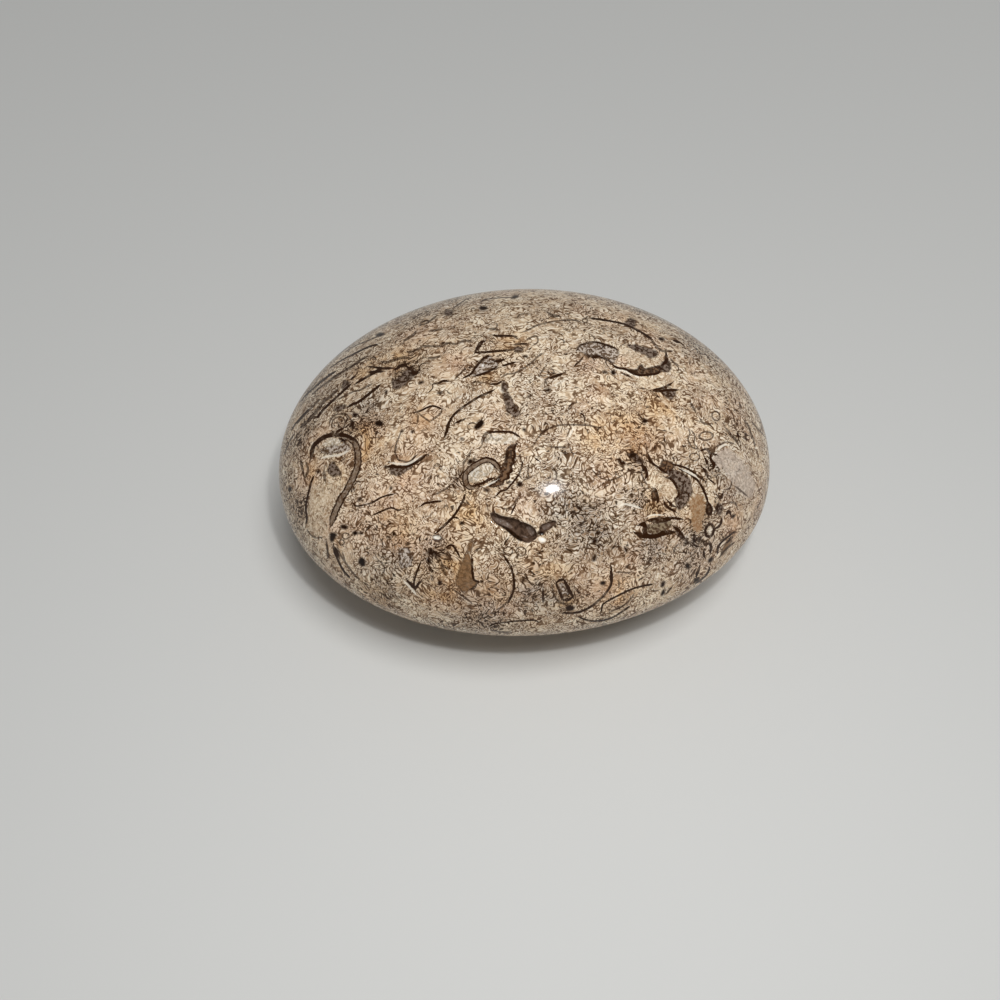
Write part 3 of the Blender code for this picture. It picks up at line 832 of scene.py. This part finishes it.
class ShellMap:
    """What is drawn on the stone: for every vertex, its distance from each kind of marking.

    A chart is a flat view of a part of the stone: the indices of its vertices, their places in it, in pixels
    of the camera's picture, and how slim lines get where the surface turns away.
    """

    def __init__(self, mesh):
        count = len(mesh.vertices)
        self.places = rows_of(mesh.vertices, "co") * MILLIMETRES
        self.normals = rows_of(mesh.vertex_normals, "vector")
        self.near = np.full((LINE_LAYERS, count), FAR)
        self.side = np.full((LINE_LAYERS, count), FAR)
        self.tone = np.zeros((LINE_LAYERS, count))
        self.patch = {kind: np.full(count, -FAR) for kind, *_ in PATCHES.values()}
        self.stain = {kind: np.zeros(count) for kind in STAINS}
        self.picture = self.picture_chart()
        self.seen = np.zeros(count, bool)
        self.seen[self.picture[0]] = True

    def picture_chart(self):
        """The side that the camera sees, as its picture shows it."""
        matrix = camera_matrix()
        rays = self.places - np.array(matrix.translation) * MILLIMETRES
        facing = -(rays * self.normals).sum(1) / np.linalg.norm(rays, axis=1)
        index = np.flatnonzero(facing > LEAST_FACING)
        across, up, back = (rays[index] @ np.array(matrix.to_3x3())).T
        middle = PICTURE_SIDE / 2
        flat = np.column_stack((middle - LENS_PIXELS * across / back, middle + LENS_PIXELS * up / back))
        return index, flat, np.clip(SLIM_RATE * facing[index], SLIMMEST, 1)

    def local_chart(self, centre, turn):
        """The surface round one vertex, seen square on."""
        normal = self.normals[centre]
        level = np.cross(normal, SIDEWAYS)
        level /= np.linalg.norm(level)
        upright = np.cross(normal, level)
        across = math.cos(turn) * level + math.sin(turn) * upright
        along = np.cross(normal, across)
        reach = self.places - self.places[centre]
        close = ((reach**2).sum(1) < CHART_REACH**2) & (self.normals @ normal > CHART_TURN)
        index = np.flatnonzero(close)
        flat = np.column_stack((reach[index] @ across, reach[index] @ along)) * PICTURE_SCALE
        return index, flat, np.ones(len(index))

    def around(self, chart, path):
        """The part of a chart that lies round a path."""
        index, flat, slim = chart
        close = ((flat > path.min(0) - PATH_MARGIN) & (flat < path.max(0) + PATH_MARGIN)).all(1)
        return index[close], flat[close], slim[close]

    def free_layer(self, index):
        """The first layer with no line near these vertices, and whether there was one."""
        room = [self.near[layer, index].min(initial=FAR) for layer in range(LINE_LAYERS)]
        for layer, space in enumerate(room):
            if space > LINE_CLEARANCE:
                return layer, True
        return int(np.argmax(room)), False

    def line(self, chart, path, width, tone, only_if_free=False):
        """Draws a line that thins towards its ends, or goes all round where its ends meet.

        With `only_if_free` it draws nothing where other lines leave no room.
        """
        index, flat, slim = self.around(chart, path)
        if not len(index):
            return
        gap, side, along, length = nearest_on(flat, path)
        layer, free = self.free_layer(index[gap < LINE_CLEARANCE])
        if only_if_free and not free:
            return
        half = slim * width / 2
        if np.any(path[0] != path[-1]):
            half *= np.clip(TIP_SHARE + np.minimum(along, length - along) / (TIP_REACH * width), 0, 1)
        better = gap < self.near[layer, index]
        chosen = index[better]
        self.near[layer, chosen] = gap[better]
        self.side[layer, chosen] = (side * gap / half)[better]
        self.tone[layer, chosen] = tone

    def fill(self, chart, kind, path):
        """Draws a closed patch."""
        index, flat, _ = self.around(chart, path)
        if not len(index):
            return
        depth = nearest_on(flat, path)[0]
        depth[~is_inside(flat, path)] *= -1
        self.patch[kind][index] = np.maximum(self.patch[kind][index], depth)

    def soak(self, kind, place, radius, strength):
        """Lays a soft stain round a place."""
        distance = ((self.places - place) ** 2).sum(1)
        self.stain[kind] = 1 - (1 - self.stain[kind]) * (1 - strength * np.exp(-distance / radius**2))

    def pictured(self, x, y):
        """The place on the stone that the picture shows at x, y."""
        index, flat, _ = self.picture
        return self.places[index[((flat - (x, y)) ** 2).sum(1).argmin()]]

    def on_surface(self, direction):
        """The vertex that lies most in a direction from the stone's middle."""
        spread = (self.places - (0, 0, GIRDLE_HEIGHT * MILLIMETRES)) / self.places.max(0)
        return int((spread @ direction / np.linalg.norm(spread, axis=1)).argmax())

    def store(self, mesh):
        """Writes everything to the mesh as attributes."""
        for layer in range(LINE_LAYERS):
            rows = np.column_stack((self.side[layer], self.near[layer], self.tone[layer]))
            attribute = mesh.attributes.new(f"line_{layer}", "FLOAT_VECTOR", "POINT")
            attribute.data.foreach_set("vector", np.clip(rows, -FAR, FAR).ravel().astype(np.float32))
        for kind, depth in self.patch.items():
            store_numbers(mesh, f"patch_{kind}", depth)
        for kind, strength in self.stain.items():
            store_numbers(mesh, f"stain_{kind}", strength)


def curled_path(chance, radius, sweep):
    """A piece of a shell's outline: an arc that opens or closes a little."""
    start = chance.uniform(0, 2 * math.pi)
    spiral = chance.uniform(-0.3, 0.3)
    lean = chance.uniform(0.6, 1.0)
    angles = np.linspace(0, sweep, max(6, int(sweep * 5)))
    radii = radius * (1 + spiral * angles / sweep)
    points = np.column_stack((radii * np.cos(start + angles), lean * radii * np.sin(start + angles)))
    return points - points.mean(0)


def blob_path(chance, radius):
    """An uneven closed outline."""
    angles = np.linspace(0, 2 * math.pi, 18, endpoint=False)
    radii = radius * (1 + 0.28 * np.sin(2 * angles + chance.uniform(0, 6)) + 0.16 * np.sin(
        3 * angles + chance.uniform(0, 6)))
    lean = chance.uniform(0.35, 0.9)
    points = np.column_stack((radii * np.cos(angles), lean * radii * np.sin(angles)))
    return np.vstack((points, points[:1]))


def scatter(shells):
    """Strews fragments over the stone, big ones only where the camera doesn't look."""
    chance = random.Random(SCATTER_SEED)

    def anywhere():
        """A vertex anywhere on the stone and the chart round it."""
        direction = np.array([chance.gauss(0, 1) for _ in range(3)])
        centre = shells.on_surface(direction / np.linalg.norm(direction))
        return centre, shells.local_chart(centre, chance.uniform(0, 2 * math.pi))

    for _ in range(SCATTERED_BANDS):
        centre, chart = anywhere()
        path = curled_path(chance, chance.uniform(12, 42), chance.uniform(1.4, 5.0))
        if not shells.seen[centre]:
            shells.line(chart, path, chance.uniform(3.6, 6.0), BAND, only_if_free=True)
    for _ in range(SCATTERED_PATCHES):
        centre, chart = anywhere()
        kind = chance.choice(("tan", "umber", "dark", "dark", "grey", "cream", "pale", "rust", "grain"))
        radius = chance.uniform(3, 6) if kind == "grain" else chance.uniform(6, 20)
        if not shells.seen[centre]:
            shells.fill(chart, kind, blob_path(chance, radius))
    for _ in range(SCATTERED_STAINS):
        centre, _ = anywhere()
        if not shells.seen[centre]:
            kind = chance.choice(sorted(STAINS))
            shells.soak(kind, shells.places[centre], chance.uniform(2.5, 6.5), chance.uniform(0.4, 0.9))
    for _ in range(SCATTERED_LINES):
        centre, chart = anywhere()
        most = 9 if shells.seen[centre] else 60
        radius = chance.uniform(5, most)
        path = curled_path(chance, radius, chance.uniform(0.7, 2.6))
        tone = chance.choice((DARK, BROWN, BROWN, FAINT, FAINT))
        shells.line(chart, path, chance.uniform(1.1, 2.2), tone, only_if_free=True)


class STONE_OT_draw_shells(bpy.types.Operator):
    """Draws the shell sections, patches, grains and stains on the stone"""

    bl_idname = "stone.draw_shells"
    bl_label = "Draw Shells"

    def execute(self, context):
        mesh = bpy.data.objects[STONE_NAME].data
        shells = ShellMap(mesh)
        view = shells.picture
        for strokes in LINES.values():
            for width, tone, *points in strokes:
                shells.line(view, smooth_curve(points), width, tone)
        for width, tone, centre, half_axes, turn in RINGS.values():
            shells.line(view, smooth_curve(oval(centre, half_axes, turn), closed=True), width, tone)
        for kind, *points in PATCHES.values():
            shells.fill(view, kind, smooth_curve(points, closed=True, steps=4))
        for x, y, half_width, half_height, turn in GRAINS:
            outline = oval((x, y), (half_width, half_height), turn, 8)
            shells.fill(view, "grain", smooth_curve(outline, closed=True, steps=3))
        for kind, spots in STAINS.items():
            for x, y, radius, strength in spots:
                shells.soak(kind, shells.pictured(x, y), radius, strength)
        scatter(shells)
        shells.store(mesh)
        return {"FINISHED"}


class STONE_OT_open_pits(bpy.types.Operator):
    """Sinks the open pits into the stone's surface"""

    bl_idname = "stone.open_pits"
    bl_label = "Open Pits"

    def execute(self, context):
        stone = bpy.data.objects[STONE_NAME]
        shells = ShellMap(stone.data)
        deepest = max(depth for _, depth, _ in PITS.values())
        sunk = np.zeros(len(stone.data.vertices))
        for points, depth, wall in PITS.values():
            path = smooth_curve(points, closed=True, steps=4)
            index, flat, _ = shells.around(shells.picture, path)
            inward = nearest_on(flat, path)[0] * is_inside(flat, path) / wall
            share = np.clip(inward, 0, 1)
            sunk[index] = np.maximum(sunk[index], share * (2 - share) * depth / deepest)
        group = stone.vertex_groups.new(name="pits")
        for vertex in np.flatnonzero(sunk > 0).tolist():
            group.add([vertex], sunk[vertex], "REPLACE")
        select_nothing()
        stone.select_set(True)
        context.view_layer.objects.active = stone
        sink = stone.modifiers.new("sink", "DISPLACE")
        sink.vertex_group = "pits"
        sink.mid_level = 0
        sink.strength = -deepest
        bpy.ops.object.modifier_apply(modifier="sink")
        store_numbers(stone.data, "pit_depth", sunk)
        return {"FINISHED"}


class Wire:
    """A socket of the material. Python maths with its number adds Math nodes."""

    def __init__(self, recipe, socket):
        self.recipe = recipe
        self.socket = socket

    def maths(self, operation, *others):
        return self.recipe.node("ShaderNodeMath", {"operation": operation}, (self, *others))

    def __add__(self, other):
        return self.maths("ADD", other)

    def __sub__(self, other):
        return self.maths("SUBTRACT", other)

    def __mul__(self, other):
        return self.maths("MULTIPLY", other)

    def __rsub__(self, other):
        return self.recipe.node("ShaderNodeMath", {"operation": "SUBTRACT"}, (other, self))

    def __abs__(self):
        return self.maths("ABSOLUTE")

    def most(self, other):
        return self.maths("MAXIMUM", other)

    def least(self, other):
        return self.maths("MINIMUM", other)

    def step(self, low, high):
        """A smooth step from 0 at `low` to 1 at `high`."""
        return self.recipe.node(
            "ShaderNodeMapRange", {"interpolation_type": "SMOOTHSTEP"}, {"Value": self, 1: low, 2: high}
        )

    __radd__ = __add__
    __rmul__ = __mul__


class Recipe:
    """Builds one material's nodes."""

    def __init__(self, name):
        self.material = bpy.data.materials.new(name)
        self.material.use_nodes = True
        self.tree = self.material.node_tree
        self.tree.nodes.clear()

    def node(self, kind, settings=None, values=(), output=0):
        """Adds a node, with its settings first and then its sockets' values or links."""
        node = self.tree.nodes.new(kind)
        for name, value in (settings or {}).items():
            setattr(node, name, value)
        for key, value in (values.items() if isinstance(values, dict) else enumerate(values)):
            if isinstance(value, Wire):
                self.tree.links.new(value.socket, node.inputs[key])
            else:
                node.inputs[key].default_value = value
        return Wire(self, node.outputs[output])

    def send_out(self, shader):
        """Makes a shader the material's surface."""
        end = self.tree.nodes.new("ShaderNodeOutputMaterial")
        self.tree.links.new(shader.socket, end.inputs["Surface"])

    def field(self, name):
        """A number stored at the vertices."""
        return self.node("ShaderNodeAttribute", {"attribute_name": name}, output="Fac")

    def fields(self, name):
        """Three numbers stored at the vertices."""
        return self.parts(self.node("ShaderNodeAttribute", {"attribute_name": name}, output="Vector"))

    def parts(self, vector):
        """The three numbers of a vector."""
        split = self.node("ShaderNodeSeparateXYZ", None, (vector,))
        return [Wire(self, output) for output in split.socket.node.outputs]

    def vector(self, operation, first, second):
        """Vector maths."""
        values = {"Vector": first, "Scale": second} if operation == "SCALE" else (first, second)
        return self.node("ShaderNodeVectorMath", {"operation": operation}, values)

    def noise(self, place, scale, detail=2.0, roughness=0.5, output="Fac"):
        """Even noise of about 0.5, whose grain is finer the bigger the scale."""
        values = {"Vector": place, "Scale": scale, "Detail": detail, "Roughness": roughness}
        return self.node("ShaderNodeTexNoise", None, values, output)

    def drift(self, place, scale, reach, detail=1.0):
        """Moves places about by up to about `reach`."""
        shove = self.noise(place, scale, detail, output="Color")
        level = self.vector("SUBTRACT", shove, (0.5, 0.5, 0.5))
        return self.vector("ADD", place, self.vector("SCALE", level, 2 * reach))

    def mix(self, share, first, second, blend="MIX"):
        """Blends two colours."""
        values = {0: share, 6: solid(first), 7: solid(second)}
        return self.node("ShaderNodeMix", {"data_type": "RGBA", "blend_type": blend}, values, 2)


def solid(colour):
    """A colour with its fourth number, or a wire as it is."""
    return colour if isinstance(colour, Wire) else (*colour, 1.0)


def shade_of(colour, strength):
    """A colour made darker or lighter."""
    return tuple(strength * part for part in colour)


def patch_looks(look):
    """How each kind of patch looks: two colours, its cover, how dark its rim is and how ragged its edge.

    The kinds come in three groups: those under the fine edges, those over them and those in the pits, which
    are painted light on the lit walls, painted shadow and painted highlights.
    """
    under = {"rust": (shade_of(look.rust, 0.25), shade_of(look.rust, 0.6), 0.9, 0.0, 0.7)}
    over = {
        "cream": (look.beige, look.cream, 0.35, 0.0, 0.7),
        "pale": (shade_of(look.cream, 0.6), look.chalk, 0.6, 0.0, 0.5),
        "tan": (shade_of(look.tan, 0.7), shade_of(look.tan, 1.1), 0.92, 0.4, 0.7),
        "grey": (shade_of(look.umber, 0.6), look.crystal, 0.85, 0.3, 1.4),
        "umber": (look.line, shade_of(look.umber, 1.1), 0.95, 0.8, 0.6),
        "amber": (shade_of(look.tan, 1.5), look.amber, 0.8, 0.0, 2.0),
        "dark": (look.line, look.slate, 0.94, 0.5, 1.2),
        "olive": (shade_of(look.umber, 0.5), look.olive, 0.9, 0.0, 0.9),
        "cloud": (shade_of(look.grey, 1.25), shade_of(look.grey, 1.75), 0.65, 0.0, 2.0),
        "grain": (shade_of(look.line, 0.3), shade_of(look.line, 0.7), 1.0, 0.5, 0.5),
    }
    # In the pits: painted light on the lit walls, painted shadow on the lower walls and painted highlights.
    in_pits = {
        "painted_lit_wall": (look.painted_lit_wall, look.painted_lit_wall_pale, 0.85, 0.0, 0.5),
        "shadow": (shade_of(look.line, 0.3), shade_of(look.line, 0.7), 0.9, 0.0, 0.3),
        "glint": (look.chalk, look.glint, 1.0, 0.0, 0.2),
    }
    return under, over, in_pits


class STONE_OT_polish_stone(bpy.types.Operator):
    """Gives the stone its shell hash, markings and clear polish"""

    bl_idname = "stone.polish_stone"
    bl_label = "Polish Stone"

    def execute(self, context):
        look = context.scene.stone_look
        recipe = Recipe(STONE_SLOT)
        place = recipe.vector("SCALE", recipe.node("ShaderNodeTexCoord", output="Object"), MILLIMETRES)
        colour, lines, specks, flecks, seep, busy = self.shell_hash(recipe, look, place)
        under, over, in_pits = patch_looks(look)
        colour = self.patches(recipe, look, place, colour, under)
        colour = recipe.mix(flecks * 0.85, colour, look.chalk)
        colour = recipe.mix(seep * 0.55, colour, look.seep, "MULTIPLY")
        edge = recipe.mix(busy.step(0.15, 1.0), shade_of(look.umber, 0.85), shade_of(look.umber, 0.22))
        colour = recipe.mix(lines * 0.92, colour, edge)
        colour = recipe.mix(specks * 0.9, colour, look.line)
        colour = self.stains(recipe, look, place, colour)
        colour = self.patches(recipe, look, place, colour, over)
        colour = self.drawn_lines(recipe, look, place, colour)

        pit = recipe.field("pit_depth")
        grit = recipe.noise(place, 2.4, 3.0)
        pit_colour = recipe.mix(grit.step(0.35, 0.65), look.pit, look.grit)
        colour = recipe.mix(pit.step(0.13, 0.26), colour, pit_colour)
        # Painted light on the pit walls, painted shadow and painted highlights go over the pits.
        colour = self.patches(recipe, look, place, colour, in_pits)

        # The relief under the clear skin: rough pits, faint waves and small frosted spots.
        waves = recipe.noise(place, 1.1)
        frost = recipe.noise(place, 3.2, 2.0).step(0.58, 0.70)
        height = grit * pit.step(0.1, 0.8) * 6.0 + waves + frost * 0.8
        bump = {"Strength": 0.25, "Distance": look.relief, "Height": height}
        relief = recipe.node("ShaderNodeBump", None, bump)
        shader = recipe.node(
            "ShaderNodeBsdfPrincipled", None,
            {
                "Base Color": colour,
                "Roughness": look.roughness + 0.3 * pit.step(0.05, 0.4),
                "Specular IOR Level": 0.0,
                "Coat Weight": look.polish_weight - 0.3 * pit.step(0.1, 0.6),
                "Coat Roughness": look.polish,
                "Coat IOR": 1.4,
                "Normal": relief,
            },
        )
        recipe.send_out(shader)
        bpy.data.objects[STONE_NAME].data.materials.append(recipe.material)
        return {"FINISHED"}

    def shell_hash(self, recipe, look, place):
        """The stone's mass: its colour, and the strength of its edges, specks, flecks, seeps and bustle."""
        # Places that are bent and curled give the hash its flow, and busier parts have more and darker edges.
        bent = recipe.drift(place, 0.30, 1.6)
        curled = recipe.drift(bent, 1.1, 0.40)
        calm = recipe.field("stain_grey") * 0.3 - recipe.field("stain_pale") * 0.45
        shade = recipe.field("stain_shade")
        busy = recipe.noise(place, 0.13, 3.0).step(0.36, 0.62) * 0.45 + shade * 0.75 + calm

        mottle = recipe.noise(bent, 0.4, 6.0, 0.72)
        lightness = (mottle - 0.5) * 3.6 + 0.62 - busy * 0.5
        colour = recipe.mix(lightness.step(0.1, 0.9), look.beige, look.cream)

        # Two nets of fine edges follow the contours of two noises, each net in parts of its own, and a third
        # gives rings. The hash is drawn out along X towards the rear.
        across, along, up = recipe.parts(curled)
        swept = recipe.node("ShaderNodeCombineXYZ", None, (across * (0.76 - along * 0.009), along, up))
        first = abs(recipe.noise(swept, 1.5, 0.0) - 0.5)
        second = abs(recipe.noise(swept, 2.4, 0.0) - 0.5)
        hills = recipe.noise(curled, 0.50, 0.0) * 7.0
        third = abs(hills.maths("FRACT") - 0.5)
        swap = recipe.noise(place, 0.55, 2.0).step(0.47, 0.52)
        whorls = recipe.noise(place, 0.35, 1.0).step(0.54, 0.58)
        faint = recipe.noise(place, 0.75, 2.0)
        strength = (faint + busy * 0.22).step(0.34, 0.60) * 0.75 + 0.25
        worms = first.step(0.094, 0.040) * (1.0 - swap)
        threads = second.step(0.105, 0.046) * swap
        rings = third.step(0.15, 0.06) * whorls
        lines = worms.most(threads).most(rings) * strength

        def beside(first_reach, second_reach):
            """A soft rim beside the edges of both nets, with how far it reaches from each."""
            return first.step(*first_reach) * (1.0 - swap) + second.step(*second_reach) * swap

        # Dark specks and light flecks sit between the edges, and brown seeps in beside them.
        grains = recipe.noise(swept, 1.9, 3.0, 0.65)
        specks = (grains - busy * 0.085).step(0.375, 0.325)
        halos = beside((0.22, 0.13), (0.24, 0.15))
        flecks = (grains.step(0.52, 0.64) * 0.6 + halos * (0.4 + 0.4 * strength)) * (1.0 - lines)
        seep = beside((0.17, 0.07), (0.19, 0.08))
        return colour, lines, specks, flecks, seep, busy

    def stains(self, recipe, look, place, colour):
        """Iron and clay that have soaked in, greyer parts, and darker parts partly painted shade, each a thin
        tint.
        """
        spread = recipe.drift(place, 0.35, 1.2)
        clay = recipe.noise(place, 0.17, 2.0).step(0.5, 0.72) * 0.35 + recipe.field("stain_pink") * 0.65
        ash = recipe.field("stain_grey") * (0.5 + 0.5 * recipe.noise(spread, 0.6, 3.0).step(0.4, 0.6))
        drips = recipe.noise(spread, 0.5, 3.0).step(0.35, 0.6)
        iron = recipe.noise(place, 0.21, 2.0).step(0.56, 0.72) * 0.3 + recipe.field("stain_rust") * 0.95
        colour = recipe.mix(clay.least(1.0), colour, look.pink, "MULTIPLY")
        colour = recipe.mix(ash, colour, look.ash, "MULTIPLY")
        colour = recipe.mix((iron * (0.35 + 0.65 * drips)).least(1.0), colour, look.rust, "MULTIPLY")
        # The shade stains: darker stone, and painted shade and painted dark reflection near the rim.
        return recipe.mix(recipe.field("stain_shade") * 0.6, colour, look.dark_and_shade_tint, "MULTIPLY")

    def patches(self, recipe, look, place, colour, kinds):
        """The bigger fragments, and the painted light, shadow and highlights in the pits, each kind with its
        own fill, cover and dark rim.
        """
        ragged = (recipe.noise(place, 1.6, 2.0) - 0.5) * 4.0
        grain = recipe.noise(place, 2.2, 1.0, 0.7)
        for kind, (first, second, cover, rim, wear) in kinds.items():
            fill = recipe.mix(grain.step(0.48, 0.54), first, second)
            edge = recipe.field(f"patch_{kind}") + ragged * wear
            colour = recipe.mix(edge.step(-0.7, 0.9) * cover, colour, fill)
            colour = recipe.mix(abs(edge).step(1.5, 0.4) * rim, colour, look.line)
        return colour

    def drawn_lines(self, recipe, look, place, colour):
        """The curved edges of shell sections. A band has a brown core between two dark edges."""
        wobble = recipe.noise(place, 2.1, 2.0) - 0.5
        fade = recipe.noise(place, 0.8, 2.0).step(0.22, 0.5)
        mottle = recipe.noise(place, 2.0, 2.0).step(0.42, 0.58)
        wall = recipe.mix(mottle, shade_of(look.umber, 0.75), look.wall)
        for layer in range(LINE_LAYERS):
            side, near, tone = recipe.fields(f"line_{layer}")
            inner = abs(side + wobble * 0.9)
            core = inner.step(1.15, 0.8) * near.step(*BAND_REACH)
            rims = abs(inner - 0.85).step(0.36, 0.10) * near.step(*BAND_REACH)
            band = tone.step(0.05, 0.0)
            white = tone.step(1.2, 1.8)
            colour = recipe.mix(core * band * 0.8, colour, wall)
            colour = recipe.mix(core * white * 0.65, colour, look.chalk)
            ink = (core * (1.0 - band) * (1.0 - white) * tone).most(rims * band)
            colour = recipe.mix(ink * (0.65 + 0.35 * fade), colour, look.line)
        return colour


class STONE_OT_set_stage(bpy.types.Operator):
    """Sets the camera, the plain floor and the lights"""

    bl_idname = "stone.set_stage"
    bl_label = "Set Stage"

    def execute(self, context):
        scene = context.scene
        studio = scene.studio_look
        select_nothing()
        bpy.ops.mesh.primitive_plane_add(size=studio.floor_side, location=(0, 0, -FLOOR_DROP))
        floor = context.active_object
        floor.name = "plain_floor"
        recipe = Recipe("pale_floor")
        shader = recipe.node(
            "ShaderNodeBsdfPrincipled", None, {"Base Color": solid(studio.floor), "Roughness": 0.8}
        )
        recipe.send_out(shader)
        floor.data.materials.append(recipe.material)

        matrix = camera_matrix()
        view = bpy.data.cameras.new("camera")
        view.sensor_fit = "HORIZONTAL"
        view.sensor_width = SENSOR_WIDTH * MILLIMETRES
        view.lens = view.sensor_width * LENS_PIXELS / PICTURE_SIDE
        view.clip_start = NEAR_CLIP
        camera = bpy.data.objects.new("camera", view)
        camera.matrix_world = matrix
        scene.collection.objects.link(camera)
        scene.camera = camera

        lamp_place = matrix @ LAMP_OFFSET
        self.add_light(context, "lamp", lamp_place, studio.lamp_size, studio.lamp_power)
        glow_size = studio.lamp_size * GLOW_SIZE
        self.add_light(context, "lamp_glow", lamp_place, glow_size, studio.lamp_power * GLOW_POWER)
        soft = self.add_light(context, "soft_light", SOFT_PLACE, studio.soft_size, studio.soft_power)
        soft.visible_glossy = False
        world = bpy.data.worlds.new("even_light")
        world.use_nodes = True
        background = world.node_tree.nodes["Background"]
        background.inputs["Color"].default_value = solid(studio.sky_colour)
        background.inputs["Strength"].default_value = studio.sky
        scene.world = world
        scene.view_settings.view_transform = "Standard"
        return {"FINISHED"}

    def add_light(self, context, name, place, size, power):
        """Adds a round light that faces the stone's middle."""
        data = bpy.data.lights.new(name, "AREA")
        data.shape = "DISK"
        data.size = size
        data.energy = power
        light = bpy.data.objects.new(name, data)
        aim = Vector((0, 0, GIRDLE_HEIGHT)) - place
        light.matrix_world = Matrix.Translation(place) @ aim.to_track_quat("-Z", "Y").to_matrix().to_4x4()
        context.scene.collection.objects.link(light)
        return light


class STONE_PT_panel(bpy.types.Panel):
    """The buttons that make the stone, in order, and its settings"""

    bl_idname = "STONE_PT_panel"
    bl_label = "Fossil Palm Stone"
    bl_space_type = "VIEW_3D"
    bl_region_type = "UI"
    bl_category = "Stone"

    def draw(self, context):
        layout = self.layout
        for operator in OPERATORS:
            layout.operator(operator.bl_idname)
        for group in (context.scene.stone_sizes, context.scene.stone_look, context.scene.studio_look):
            box = layout.box()
            for name in group.bl_rna.properties.keys():
                if name not in ("rna_type", "name"):
                    box.prop(group, name)


OPERATORS = (
    STONE_OT_add_stone,
    STONE_OT_draw_shells,
    STONE_OT_open_pits,
    STONE_OT_polish_stone,
    STONE_OT_set_stage,
)
CLASSES = (StoneSizes, StoneLook, StudioLook, *OPERATORS, STONE_PT_panel)


def register():
    for cls in CLASSES:
        bpy.utils.register_class(cls)
    bpy.types.Scene.stone_sizes = bpy.props.PointerProperty(type=StoneSizes)
    bpy.types.Scene.stone_look = bpy.props.PointerProperty(type=StoneLook)
    bpy.types.Scene.studio_look = bpy.props.PointerProperty(type=StudioLook)


def unregister():
    del bpy.types.Scene.studio_look
    del bpy.types.Scene.stone_look
    del bpy.types.Scene.stone_sizes
    for cls in reversed(CLASSES):
        bpy.utils.unregister_class(cls)


def main():
    """Makes the stone and its stage."""
    register()
    bpy.ops.stone.add_stone()
    bpy.ops.stone.draw_shells()
    bpy.ops.stone.open_pits()
    bpy.ops.stone.polish_stone()
    bpy.ops.stone.set_stage()


if __name__ == "__main__":
    main()
